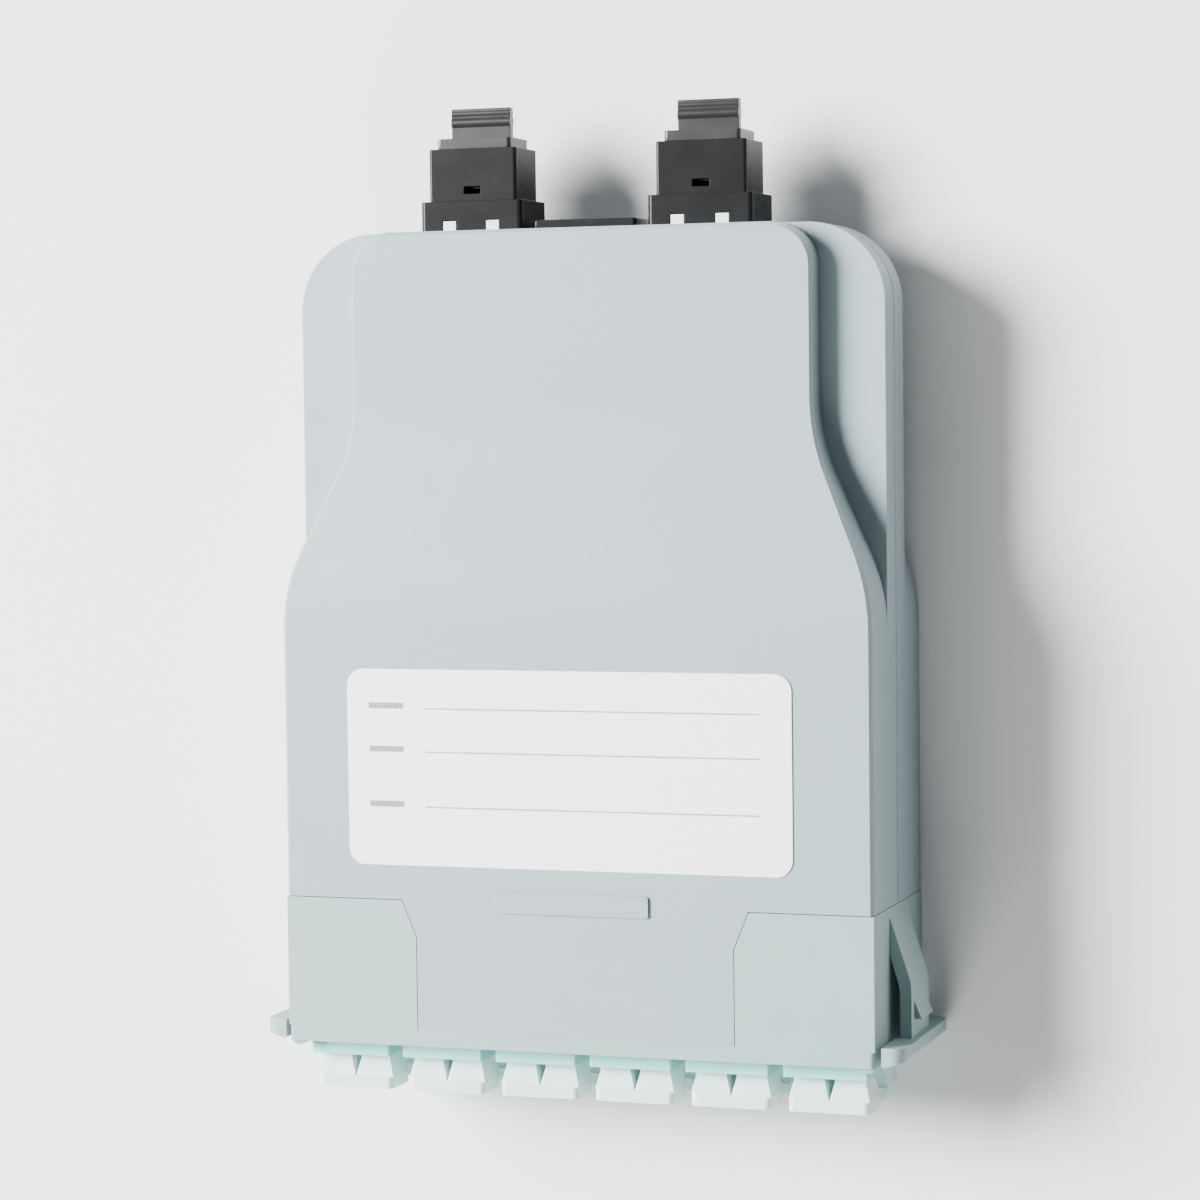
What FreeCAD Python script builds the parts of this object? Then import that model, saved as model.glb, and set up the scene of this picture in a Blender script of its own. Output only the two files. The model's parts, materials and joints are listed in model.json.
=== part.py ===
import FreeCAD, Part
import math
import os

# Plug-in fibre cassette: a clamshell case closed at the front by a port frame, with duplex LC
# adapters in two rows at the front and multi-fibre adapters in the rear wall.
# Millimetres. X runs across the case, Y towards the rear, Z up. The origin is on the underside,
# in the middle of the width, in the plane of the ears' rear faces, which seat on the chassis.

# ---------------------------------------------------------------- case
CASE_WIDTH = 91.8
CASE_HEIGHT = 29.6
CASE_BACK = 119.5
WALL = 1.8
NECK_WIDTH = 72.2
NECK_DROP = 5.1             # how much lower the neck's top is than the front's, and higher below
WING_THICKNESS = 10.7
WING_CORNER_RADIUS = 11.7
NECK_CORNER_RADIUS = 6.4
SHOULDER_FRONT = 66.1       # where the tangents of the shoulder's curves cross, front and back
SHOULDER_BACK = 88.3
SHOULDER_RADIUS = 28.0      # in plan
RAMP_RADIUS = 50.0          # in side view
RIM_CHAMFER = 0.5
SEAM_Y = 19.2               # where the covers' sides meet the port frame
SEAM_GAP = 0.12
TONGUE_ROOT_WIDTH = 54.2    # the covers' middle runs forward between the frame's corners
TONGUE_WIDTH = 49.6
TONGUE_TAPER = 5.6
EDGE_GROOVE = 0.3           # chamfer along the parting line
RIB_THICKNESS = 1.2
PAD_WIDTH = 23.8
PAD_LENGTH = 3.2
PAD_HEIGHT = 0.4
PAD_FRONT = 17.7

# ---------------------------------------------------------------- port frame, ears and latches
PANEL_FRONT = -3.0
PANEL_THICKNESS = 2.4
FRAME_CORNER_RADIUS = 0.8
LIP_THICKNESS = 0.9         # the frame's ledge under the covers
LIP_LENGTH = 3.0
CHEEK_THICKNESS = 1.6
DIVIDER_THICKNESS = 1.7     # between the two rows of adapters
DIVIDER_LENGTH = 9.0
BEAD_RADIUS = 1.2           # upright bead at each end of the panel
EAR_REACH = 4.3             # how far an ear stands out past the case's side
EAR_SLOT = 0.8
EAR_SWEEP = 1.1             # how far the ear's front leans back at its outer edge
EAR_HEIGHT = 28.4
EAR_CORNER_RADIUS = 2.2
LATCH_THICKNESS = 1.7
LATCH_HEIGHT = 10.7
LATCH_BEND_RADIUS = 7.0
LATCH_ROOT = 4.0            # how far the latch's root starts in front of the seam
LATCH_BEND_LENGTH = 8.0
CATCH_DEPTH = 1.1
CATCH_LENGTH = 3.2
CATCH_Y = 2.6

# ---------------------------------------------------------------- duplex LC adapters
LC_COLUMNS = 6
LC_PITCH = 15.0
LC_ROW_PITCH = 12.6
LC_WIDTH = 12.9
LC_HEIGHT = 9.4
LC_PROUD = 2.5              # how far the adapters stand out of the panel
LC_LENGTH = 26.0
LC_SHOULDER = 0.6           # above and below, behind the panel
LC_SHOULDER_LENGTH = 1.6
LC_SNAP = 0.35
LC_SNAP_LENGTH = 1.6
LC_PORT_PITCH = 6.25
LC_PORT_WIDTH = 4.9
LC_PORT_HEIGHT = 5.8
LC_PORT_OFFSET = -0.5       # the ports sit off centre, to leave room for the latch slot
LC_SLOT_WIDTH = 3.2
LC_SLOT_HEIGHT = 1.5
LC_PORT_DEPTH = 9.0
LC_SLEEVE_RADIUS = 1.45
LC_SLEEVE_LENGTH = 4.2
FERRULE_RADIUS = 0.625
FERRULE_LENGTH = 5.0
FERRULE_CLEARANCE = 0.025
FIT_GAP = 0.1               # clearance of each piece that slides into another

# ---------------------------------------------------------------- LC dust caps
CAP_BAR_WIDTH = 12.4
CAP_BAR_HEIGHT = 7.2
CAP_BAR_THICKNESS = 1.8
CAP_BAR_RADIUS = 1.0
CAP_STANDOFF = 3.6          # from the adapter's face to the back of the bar
CAP_NECK_LENGTH = 0.9       # straight part of each plug outside its port
CAP_FLARE_WIDTH = 6.1
CAP_FLARE_HEIGHT = 6.6
CAP_PLUG_TRIM = 0.1         # the plug is this much shorter in height than a sliding fit

# ---------------------------------------------------------------- multi-fibre rear ports
REAR_PORT_PITCH = 18.0      # left adapter, blank, right adapter
MPO_CORE_WIDTH = 12.4
MPO_CORE_HEIGHT = 9.4
MPO_COLLAR_WIDTH = 16.3
MPO_COLLAR_HEIGHT = 11.0
MPO_COLLAR_LENGTH = 4.6
MPO_COLLAR_RADIUS = 0.8
MPO_BODY_WIDTH = 14.0
MPO_BODY_LENGTH = 7.9
MPO_INNER_LENGTH = 13.0
MPO_RIB_WIDTH = 14.4
MPO_RIB_LENGTH = 1.3
MPO_PORT_WIDTH = 10.4
MPO_PORT_HEIGHT = 6.8
MPO_PORT_DEPTH = 9.5
MPO_KEY_WIDTH = 2.6
MPO_KEY_HEIGHT = 0.8
MPO_WINDOW_WIDTH = 2.6
MPO_WINDOW_LENGTH = 1.1
HOOK_WIDTH = 2.0
HOOK_LENGTH = 1.6
HOOK_HEIGHT = 0.9
HOOK_PITCH = 6.9
BLANK_THICKNESS = 1.4
BLANK_WIDTH = 16.0

# ---------------------------------------------------------------- multi-fibre dust caps
MCAP_PLUG_DEPTH = 6.0
MCAP_RIM_WIDTH = 11.8
MCAP_RIM_HEIGHT = 8.0
MCAP_RIM_THICKNESS = 1.6
MCAP_TAB_WIDTH = 9.5
MCAP_TAB_LENGTH = 4.7
MCAP_TAB_THICKNESS = 1.3
MCAP_BEAD_RADIUS = 0.95
MCAP_BEAD_Y = 2.6           # from the rim to the grip bead

# ---------------------------------------------------------------- screws and bosses
SCREW_RADIUS = 1.1
SCREW_HEAD_RADIUS = 2.1
SCREW_HEAD_HEIGHT = 1.5
SCREW_BITE = 2.8            # how far the screw reaches past the parting line
SCREW_CLEARANCE = 0.05
SCREW_RECESS_MARGIN = 0.3
BOSS_WALL = 1.0
BOSS_SEAT = 3.5             # thickness of plastic under the screw's head
WELL_BITE = 0.4             # how far a screw well runs into the case's side wall
FRONT_BOSS_Y = 36.0
REAR_BOSS_Y = 107.0

# ---------------------------------------------------------------- label
LABEL_WIDTH = 69.4
LABEL_LENGTH = 29.6
LABEL_THICKNESS = 0.2
LABEL_RADIUS = 2.6
LABEL_FRONT = 24.4
LABEL_OFFSET = -0.7

# ---------------------------------------------------------------- fibres and inner connectors
GUIDE_RADIUS = 19.0
GUIDE_WALL = 1.4
GUIDE_HEIGHT = 9.0
GUIDE_GAP = 14.0
GUIDE_Y = 66.0
GUIDE_BACK = 58.0
BUNDLE_RADIUS = 1.2
BUNDLE_CLEARANCE = 0.5
BUNDLE_LEVEL = 10.4
FANOUT_BACK = 56.0
FANOUT_LENGTH = 9.0
FANOUT_WIDTH = 9.0
FANOUT_HEIGHT = 3.6
TAIL_WIDTH = 1.8
TAIL_THICKNESS = 0.9
TAIL_BITE = 0.5             # how deep a tail sits in the fan-out block
LC_PLUG_WIDTH = 4.5
LC_PLUG_HEIGHT = 4.6
LC_PLUG_LENGTH = 12.0
LC_BOOT_LENGTH = 5.0
LC_BOOT_WIDTH = 2.2
MPO_PLUG_LENGTH = 9.0
MPO_SHELL_WIDTH = 12.0
MPO_SHELL_HEIGHT = 8.6
MPO_SHELL_LENGTH = 8.0
MPO_BOOT_LENGTH = 6.0

# ---------------------------------------------------------------- worked out from the sizes above
MID = CASE_HEIGHT / 2                       # height of the parting plane
HALF_WIDTH = CASE_WIDTH / 2
NECK_HALF_HEIGHT = CASE_HEIGHT / 2 - NECK_DROP
WING_HALF = WING_THICKNESS / 2
PANEL_BACK = PANEL_FRONT + PANEL_THICKNESS
ROW_LEVELS = {"upper": MID + LC_ROW_PITCH / 2, "lower": MID - LC_ROW_PITCH / 2}
COLUMN_XS = [LC_PITCH * (i - (LC_COLUMNS - 1) / 2) for i in range(LC_COLUMNS)]
LC_FACE = PANEL_FRONT - LC_PROUD
LC_TAIL = LC_FACE + LC_LENGTH
LC_SLEEVE_TIP = LC_FACE + LC_PORT_DEPTH - LC_SLEEVE_LENGTH
MPO_COLLAR_BACK = CASE_BACK + MPO_COLLAR_LENGTH
MPO_BACK = MPO_COLLAR_BACK + MPO_BODY_LENGTH
MPO_FRONT = CASE_BACK - WALL - MPO_INNER_LENGTH
MPO_XS = {"left": -REAR_PORT_PITCH, "right": REAR_PORT_PITCH}
LC_PLUG_TIP = LC_TAIL - LC_PORT_DEPTH
LC_BOOT_END = LC_PLUG_TIP + LC_PLUG_LENGTH + LC_BOOT_LENGTH
MPO_PLUG_TIP = MPO_FRONT + MPO_PORT_DEPTH - 0.5
MPO_BOOT_END = MPO_PLUG_TIP - MPO_PLUG_LENGTH - MPO_SHELL_LENGTH - MPO_BOOT_LENGTH
SCREW_SEAT = MID - BOSS_SEAT
WELL_RADIUS = SCREW_HEAD_RADIUS + SCREW_RECESS_MARGIN
BOSS_X = HALF_WIDTH - WALL + WELL_BITE - BOSS_WALL - WELL_RADIUS
BOSS_PLACES = [(x, y) for x in (-BOSS_X, BOSS_X) for y in (FRONT_BOSS_Y, REAR_BOSS_Y)]
REACH = 4 * CASE_BACK                       # longer than any cut needs

Vec = FreeCAD.Vector
PLANES = {
    "xy": lambda u, v, w: Vec(u, v, w),
    "xz": lambda u, v, w: Vec(u, w, v),
    "yz": lambda u, v, w: Vec(w, u, v),
}


# ---------------------------------------------------------------- outlines and prisms
def outline(corners, place):
    """Closed wire through corners (u, v, radius), each rounded by a tangent arc."""
    arcs = []
    count = len(corners)
    for i, (u, v, radius) in enumerate(corners):
        corner = Vec(u, v, 0)
        before = Vec(corners[i - 1][0], corners[i - 1][1], 0) - corner
        after = Vec(corners[(i + 1) % count][0], corners[(i + 1) % count][1], 0) - corner
        before.normalize()
        after.normalize()
        if radius == 0:
            arcs.append((corner, None, corner))
            continue
        half = before.getAngle(after) / 2
        tangent = radius / math.tan(half)
        inward = before + after
        inward.normalize()
        middle = corner + inward * (radius / math.sin(half) - radius)
        arcs.append((corner + before * tangent, middle, corner + after * tangent))
    edges = []
    for i, (start, middle, end) in enumerate(arcs):
        if middle is not None:
            points = [place(p.x, p.y) for p in (start, middle, end)]
            edges.append(Part.Arc(*points).toShape())
        following = arcs[(i + 1) % count][0]
        if (following - end).Length > 1e-6:
            edges.append(Part.makeLine(place(end.x, end.y), place(following.x, following.y)))
    return Part.Wire(edges)


def prism(corners, plane, low, high):
    """Solid with the outline drawn in the plane, from low to high along the third axis."""
    place = PLANES[plane]
    face = Part.Face(outline(corners, lambda u, v: place(u, v, low)))
    return face.extrude(place(0, 0, high - low))


def rectangle(width, height, radius=0.0, u=0.0, v=0.0):
    """Corners of a rectangle centred on (u, v)."""
    w = width / 2
    h = height / 2
    return [(u - w, v - h, radius), (u + w, v - h, radius), (u + w, v + h, radius), (u - w, v + h, radius)]


def both_sides(right):
    """Corners of a shape symmetric about u = 0, from its right-hand corners, front to back."""
    return right + [(-u, v, r) for u, v, r in reversed(right)]


def along_y(width, height, y0, y1, x=0.0, z=0.0, radius=0.0):
    """Bar along Y with a rectangular section centred on (x, z)."""
    return prism(rectangle(width, height, radius, x, z), "xz", y0, y1)


def taper_y(section0, y0, section1, y1, x=0.0, z=0.0):
    """Bar along Y that tapers between two centred rectangles (width, height)."""
    widths = (section0[0] / 2, section1[0] / 2)
    heights = (section0[1] / 2, section1[1] / 2)
    plan = [(x - widths[0], y0, 0), (x + widths[0], y0, 0), (x + widths[1], y1, 0), (x - widths[1], y1, 0)]
    side = [(y0, z - heights[0], 0), (y1, z - heights[1], 0), (y1, z + heights[1], 0), (y0, z + heights[0], 0)]
    flat = prism(plan, "xy", z - max(heights), z + max(heights))
    return flat.common(prism(side, "yz", x - max(widths), x + max(widths)))


def upright(radius, x, y, z0, z1):
    """Cylinder along Z."""
    return Part.makeCylinder(radius, z1 - z0, Vec(x, y, z0))


def joined(shapes):
    """One clean solid from shapes that touch or overlap."""
    first, *others = shapes
    return first.fuse(others).removeSplitter() if others else first


def mirrored_x(shape):
    return shape.mirror(Vec(0, 0, 0), Vec(1, 0, 0))


def flipped(shape, level):
    """The shape upside down, about the horizontal plane at the level."""
    return shape.mirror(Vec(0, 0, level), Vec(0, 0, 1))


# ---------------------------------------------------------------- case covers
def body_plan(inset, front):
    """Plan of the bottle-shaped middle: full width in front, curved in to the neck behind."""
    full = HALF_WIDTH - inset
    neck = NECK_WIDTH / 2 - inset
    return both_sides([
        (full, front, 0),
        (full, SHOULDER_FRONT, SHOULDER_RADIUS),
        (neck, SHOULDER_BACK, SHOULDER_RADIUS),
        (neck, CASE_BACK - inset, NECK_CORNER_RADIUS - inset),
    ])


def body_profile(inset, front):
    """Side view of the upper half of the middle, with the ramp down to the neck."""
    top = MID + CASE_HEIGHT / 2 - inset
    neck_top = MID + NECK_HALF_HEIGHT - inset
    back = CASE_BACK - inset
    return [
        (front, MID, 0),
        (back, MID, 0),
        (back, neck_top, 0),
        (SHOULDER_BACK, neck_top, RAMP_RADIUS),
        (SHOULDER_FRONT, top, RAMP_RADIUS),
        (front, top, 0),
    ]


def upper_body(inset, front):
    plan = prism(body_plan(inset, front), "xy", MID, MID + CASE_HEIGHT / 2)
    profile = prism(body_profile(inset, front), "yz", -HALF_WIDTH, HALF_WIDTH)
    return plan.common(profile)


def upper_wing(inset, front):
    """Upper half of the full-width wing that carries the rails."""
    side = HALF_WIDTH - inset
    corners = both_sides([(side, front, 0), (side, CASE_BACK - inset, WING_CORNER_RADIUS - inset)])
    return prism(corners, "xy", MID, MID + WING_HALF - inset)


def bevel_rim(body, front):
    """Bevel the edge between the top and the sides, but not the front end."""
    def on_rim(edge):
        middle = edge.valueAt((edge.FirstParameter + edge.LastParameter) / 2)
        along = edge.tangentAt((edge.FirstParameter + edge.LastParameter) / 2)
        crosswise = abs(along.x) > 0.999 and middle.y < CASE_BACK - 1e-3
        low = min(v.Point.z for v in edge.Vertexes) < MID + NECK_HALF_HEIGHT - 1e-3
        return not low and not crosswise and middle.y > front + 1e-3
    return body.makeChamfer(RIM_CHAMFER, [edge for edge in body.Edges if on_rim(edge)])


def groove_parting_line(wing):
    """Chamfer the outer lower edge, so that the two halves meet in a fine V groove."""
    def on_line(edge):
        middle = edge.valueAt((edge.FirstParameter + edge.LastParameter) / 2)
        flat = all(abs(v.Point.z - MID) < 1e-6 for v in edge.Vertexes)
        return flat and middle.y > SEAM_Y + 1e-3
    return wing.makeChamfer(EDGE_GROOVE, [edge for edge in wing.Edges if on_line(edge)])


def tongue_corners(extra):
    """Plan of the cover's tongue, or of the space for it in the frame when extra is the gap."""
    half_root = TONGUE_ROOT_WIDTH / 2 + extra
    half = TONGUE_WIDTH / 2 + extra
    return both_sides([
        (half, PANEL_BACK - extra, 0),
        (half, SEAM_Y - TONGUE_TAPER, 0),
        (half_root, SEAM_Y, 0),
        (half_root, SEAM_Y + LIP_LENGTH, 0),
    ])


def half_shell():
    """Upper cover without its bosses: the outer form less the same form taken in by the wall."""
    body = bevel_rim(upper_body(0, SEAM_Y - REACH / 8), SEAM_Y - REACH / 8)
    wing = groove_parting_line(upper_wing(0, SEAM_Y))
    tongue = prism(tongue_corners(0), "xy", MID, MID + CASE_HEIGHT / 2)
    behind_seam = block(-HALF_WIDTH, HALF_WIDTH, SEAM_Y, CASE_BACK, MID, CASE_HEIGHT)
    outside = body.common(joined([behind_seam, tongue]))
    outside = outside.cut(block(-REACH, REACH, SEAM_Y, CASE_BACK + 1, MID, MID + WING_HALF))
    outer = joined([outside, wing])
    front = PANEL_FRONT - REACH / 8
    inner = joined([upper_body(WALL, front), upper_wing(WALL, front)])
    return outer.cut(inner)


def block(x0, x1, y0, y1, z0, z1):
    return Part.makeBox(x1 - x0, y1 - y0, z1 - z0, Vec(x0, y0, z0))


def rear_openings():
    """Openings in the rear wall, one for each adapter and the blank."""
    openings = []
    for x in (-REAR_PORT_PITCH, 0, REAR_PORT_PITCH):
        openings.append(along_y(MPO_CORE_WIDTH + 2 * FIT_GAP, MPO_CORE_HEIGHT + 2 * FIT_GAP,
                                CASE_BACK - WALL - 1, CASE_BACK + 1, x, MID))
    return openings


def rear_hooks():
    """Prongs on the rear wall that reach over the adapters' collars."""
    hooks = []
    z1 = MID + MPO_COLLAR_HEIGHT / 2
    for x in MPO_XS.values():
        for side in (-HOOK_PITCH / 2, HOOK_PITCH / 2):
            x0 = x + side - HOOK_WIDTH / 2
            hooks.append(block(x0, x0 + HOOK_WIDTH, CASE_BACK - WALL / 2, CASE_BACK + HOOK_LENGTH,
                               z1 - HOOK_HEIGHT, z1))
    return hooks


def adapter_rib():
    """Cross rib under the tongue, which keeps the adapters' shoulders against the panel."""
    front = PANEL_BACK + LC_SHOULDER_LENGTH + FIT_GAP
    low = ROW_LEVELS["upper"] + LC_HEIGHT / 2 + FIT_GAP
    half = TONGUE_WIDTH / 2 - LIP_LENGTH
    return block(-half, half, front, front + RIB_THICKNESS, low, CASE_HEIGHT - WALL / 2)


def upper_bosses(shell):
    """Screw bosses from the parting plane up to the inside of the cover's top."""
    inside = joined([upper_body(WALL / 2, SEAM_Y), upper_wing(WALL / 2, SEAM_Y)])
    posts = []
    for x, y in BOSS_PLACES:
        post = upright(SCREW_RADIUS + BOSS_WALL + SCREW_CLEARANCE, x, y, MID, CASE_HEIGHT)
        posts.append(post.common(inside))
    shell = joined([shell] + posts)
    holes = [upright(SCREW_RADIUS + SCREW_CLEARANCE, x, y, MID - 1, MID + SCREW_BITE + 0.4)
             for x, y in BOSS_PLACES]
    return shell.cut(holes)


def make_top_cover():
    shell = upper_bosses(half_shell())
    pad = prism(rectangle(PAD_WIDTH, PAD_LENGTH, 0.4, 0, PAD_FRONT + PAD_LENGTH / 2), "xy",
                CASE_HEIGHT - WALL / 2, CASE_HEIGHT + PAD_HEIGHT)
    return joined([shell, pad, adapter_rib()] + rear_hooks()).cut(rear_openings())


def guide_walls():
    """Two arcs of a ring wall on the flat of the floor, which keep the fibres' bends wide."""
    top = WALL + GUIDE_HEIGHT
    ring = upright(GUIDE_RADIUS, 0, GUIDE_Y, WALL / 2, top)
    ring = ring.cut(upright(GUIDE_RADIUS - GUIDE_WALL, 0, GUIDE_Y, 0, top + 1))
    ring = ring.cut(block(-GUIDE_GAP / 2, GUIDE_GAP / 2, 0, GUIDE_Y, 0, top + 1))
    return ring.cut(block(-REACH, REACH, GUIDE_BACK, REACH, 0, top + 1))


def lower_bosses(shell):
    """Screw wells from the floor up to the parting plane, open below for the heads."""
    inside = flipped(joined([upper_body(WALL / 2, SEAM_Y), upper_wing(WALL / 2, SEAM_Y)]), MID)
    posts = []
    for x, y in BOSS_PLACES:
        posts.append(upright(WELL_RADIUS + BOSS_WALL, x, y, 0, MID).common(inside))
    shell = joined([shell] + posts)
    cuts = []
    for x, y in BOSS_PLACES:
        cuts.append(upright(WELL_RADIUS, x, y, -1, SCREW_SEAT))
        cuts.append(upright(SCREW_RADIUS + SCREW_CLEARANCE, x, y, SCREW_SEAT - 1, MID + 1))
    return shell.cut(cuts)


def make_bottom_cover():
    shell = lower_bosses(flipped(half_shell(), MID))
    hooks = [flipped(hook, MID) for hook in rear_hooks()]
    rib = flipped(adapter_rib(), MID)
    return joined([shell, guide_walls(), rib] + hooks).cut(rear_openings())


# ---------------------------------------------------------------- port frame with ears and latches
def adapter_openings():
    cuts = []
    for z in ROW_LEVELS.values():
        for x in COLUMN_XS:
            cuts.append(along_y(LC_WIDTH + 2 * FIT_GAP, LC_HEIGHT + 2 * FIT_GAP,
                                PANEL_FRONT - 1, PANEL_BACK + 1, x, z))
    return cuts


def right_latch():
    """Spring arm moulded on the frame's side: it bows out from its root and runs to the ear."""
    root_y = SEAM_Y - LATCH_ROOT
    arm_y = root_y - LATCH_BEND_LENGTH
    inner_x = HALF_WIDTH + EAR_REACH - LATCH_THICKNESS - CATCH_DEPTH
    root_x = HALF_WIDTH - WALL / 2
    ear_front = PANEL_FRONT + EAR_SWEEP / 2
    arm = [
        (root_x, root_y, 0),
        (inner_x, arm_y, LATCH_BEND_RADIUS),
        (inner_x, ear_front / 2, 0),
        (inner_x + LATCH_THICKNESS, ear_front / 2, 0),
        (inner_x + LATCH_THICKNESS, arm_y + LATCH_THICKNESS / 2, LATCH_BEND_RADIUS),
        (HALF_WIDTH, SEAM_Y - LATCH_ROOT / 3, 0),
        (root_x, SEAM_Y - LATCH_ROOT / 3, 0),
    ]
    arm = prism(arm, "xy", MID - LATCH_HEIGHT / 2, MID + LATCH_HEIGHT / 2)
    outer_x = inner_x + LATCH_THICKNESS
    catch = [
        (outer_x - 0.2, CATCH_Y, 0),
        (outer_x + CATCH_DEPTH, CATCH_Y, 0),
        (outer_x - 0.2, CATCH_Y + CATCH_LENGTH, 0),
    ]
    catch = prism(catch, "xy", MID - LATCH_HEIGHT / 3, MID + LATCH_HEIGHT / 3)
    return [arm, catch]


def right_ear():
    """Finger tab beside the panel, its front leaning back towards the outer edge."""
    inner = HALF_WIDTH + EAR_SLOT
    outer = HALF_WIDTH + EAR_REACH
    plan = prism([(inner, 0, 0), (inner, PANEL_FRONT, 0.4), (outer, PANEL_FRONT + EAR_SWEEP, 0.6),
                  (outer, 0, 0)], "xy", MID - EAR_HEIGHT / 2, MID + EAR_HEIGHT / 2)
    front_view = [
        (inner - 1, MID - EAR_HEIGHT / 2, 0),
        (outer, MID - EAR_HEIGHT / 2, EAR_CORNER_RADIUS),
        (outer, MID + EAR_HEIGHT / 2, EAR_CORNER_RADIUS),
        (inner - 1, MID + EAR_HEIGHT / 2, 0),
    ]
    return plan.common(prism(front_view, "xz", PANEL_FRONT, 0))


def frame_corners():
    """Corner plates of the frame, flush with the cover, and the ledge under the cover."""
    top = CASE_HEIGHT
    plate = block(-HALF_WIDTH, HALF_WIDTH, PANEL_BACK, SEAM_Y - SEAM_GAP, top - WALL, top)
    plate = plate.cut(prism(tongue_corners(SEAM_GAP), "xy", 0, REACH))
    ledge_top = top - WALL
    ledge_z = ledge_top - LIP_THICKNESS
    half_root = TONGUE_ROOT_WIDTH / 2
    ledge = block(half_root - LIP_LENGTH, HALF_WIDTH - WALL, PANEL_BACK, SEAM_Y + LIP_LENGTH,
                  ledge_z, ledge_top)
    ledge = ledge.cut(block(0, half_root - LIP_LENGTH + 1, LC_SHOULDER_LENGTH, REACH, 0, REACH))
    web = block(half_root + LIP_LENGTH, HALF_WIDTH - WALL / 2, SEAM_Y - 2 * LIP_LENGTH,
                SEAM_Y - SEAM_GAP, ledge_z, top - WALL / 2)
    return [plate, ledge, mirrored_x(ledge), web, mirrored_x(web)]


def make_front_frame():
    panel = along_y(CASE_WIDTH, CASE_HEIGHT, PANEL_FRONT, PANEL_BACK, 0, MID, FRAME_CORNER_RADIUS)
    cheek = block(HALF_WIDTH - CHEEK_THICKNESS, HALF_WIDTH, PANEL_BACK, SEAM_Y - SEAM_GAP, 0, CASE_HEIGHT)
    divider = block(-HALF_WIDTH + WALL / 2, HALF_WIDTH - WALL / 2, PANEL_BACK,
                    PANEL_BACK + DIVIDER_LENGTH, MID - DIVIDER_THICKNESS / 2, MID + DIVIDER_THICKNESS / 2)
    bead = upright(BEAD_RADIUS, HALF_WIDTH - BEAD_RADIUS, PANEL_FRONT + BEAD_RADIUS / 3,
                   FRAME_CORNER_RADIUS, CASE_HEIGHT - FRAME_CORNER_RADIUS)
    corners = frame_corners()
    pieces = [panel, divider, cheek, mirrored_x(cheek), bead, mirrored_x(bead)]
    pieces += corners + [flipped(piece, MID) for piece in corners]
    for piece in right_latch() + [right_ear()]:
        pieces += [piece, mirrored_x(piece)]
    return joined(pieces).cut(adapter_openings())


# ---------------------------------------------------------------- duplex LC adapters and caps
def port_xs(x):
    return (x - LC_PORT_PITCH / 2, x + LC_PORT_PITCH / 2)


def make_lc_adapter():
    """One duplex adapter at the origin of its column, its latch slots upwards."""
    body = along_y(LC_WIDTH, LC_HEIGHT, LC_FACE, LC_TAIL, radius=0.4)
    shoulder = along_y(LC_WIDTH, LC_HEIGHT + 2 * LC_SHOULDER, PANEL_BACK,
                       PANEL_BACK + LC_SHOULDER_LENGTH)
    root = LC_HEIGHT / 2 - LC_SNAP
    wedge = [(PANEL_FRONT, root, 0), (PANEL_FRONT, root + 2 * LC_SNAP, 0),
             (PANEL_FRONT - LC_SNAP_LENGTH, root, 0)]
    wedge = prism(wedge, "yz", -LC_WIDTH / 5, LC_WIDTH / 5)
    body = joined([body, shoulder, wedge, flipped(wedge, 0)])
    slot_z = LC_PORT_OFFSET + LC_PORT_HEIGHT / 2 + LC_SLOT_HEIGHT / 2
    cuts = []
    sleeves = []
    for x in port_xs(0):
        for y0, y1 in ((LC_FACE - 1, LC_FACE + LC_PORT_DEPTH), (LC_TAIL - LC_PORT_DEPTH, LC_TAIL + 1)):
            cuts.append(along_y(LC_PORT_WIDTH, LC_PORT_HEIGHT, y0, y1, x, LC_PORT_OFFSET))
            cuts.append(along_y(LC_SLOT_WIDTH, LC_SLOT_HEIGHT + 0.2, y0, y1, x, slot_z - 0.1))
        centre = Vec(x, LC_SLEEVE_TIP, LC_PORT_OFFSET)
        sleeves.append(Part.makeCylinder(LC_SLEEVE_RADIUS, LC_SLEEVE_LENGTH + 1, centre, Vec(0, 1, 0)))
    body = joined([body.cut(cuts)] + sleeves)
    bores = []
    for x in port_xs(0):
        start = Vec(x, LC_FACE, LC_PORT_OFFSET)
        bores.append(Part.makeCylinder(FERRULE_RADIUS + FERRULE_CLEARANCE, LC_LENGTH, start, Vec(0, 1, 0)))
    return body.cut(bores)


def make_lc_cap():
    """Dust cap for one duplex adapter: two plugs that flare out to a common bar."""
    bar_back = LC_FACE - CAP_STANDOFF
    pieces = [along_y(CAP_BAR_WIDTH, CAP_BAR_HEIGHT, bar_back - CAP_BAR_THICKNESS, bar_back,
                      0, LC_PORT_OFFSET, CAP_BAR_RADIUS)]
    width = LC_PORT_WIDTH - 2 * FIT_GAP
    height = LC_PORT_HEIGHT - 2 * FIT_GAP - 2 * CAP_PLUG_TRIM
    flare_y = LC_FACE - CAP_NECK_LENGTH
    for x in port_xs(0):
        pieces.append(along_y(width, height, flare_y, LC_SLEEVE_TIP, x, LC_PORT_OFFSET))
        pieces.append(taper_y((CAP_FLARE_WIDTH, CAP_FLARE_HEIGHT), bar_back, (width, height), flare_y,
                              x, LC_PORT_OFFSET))
    return joined(pieces)


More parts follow.
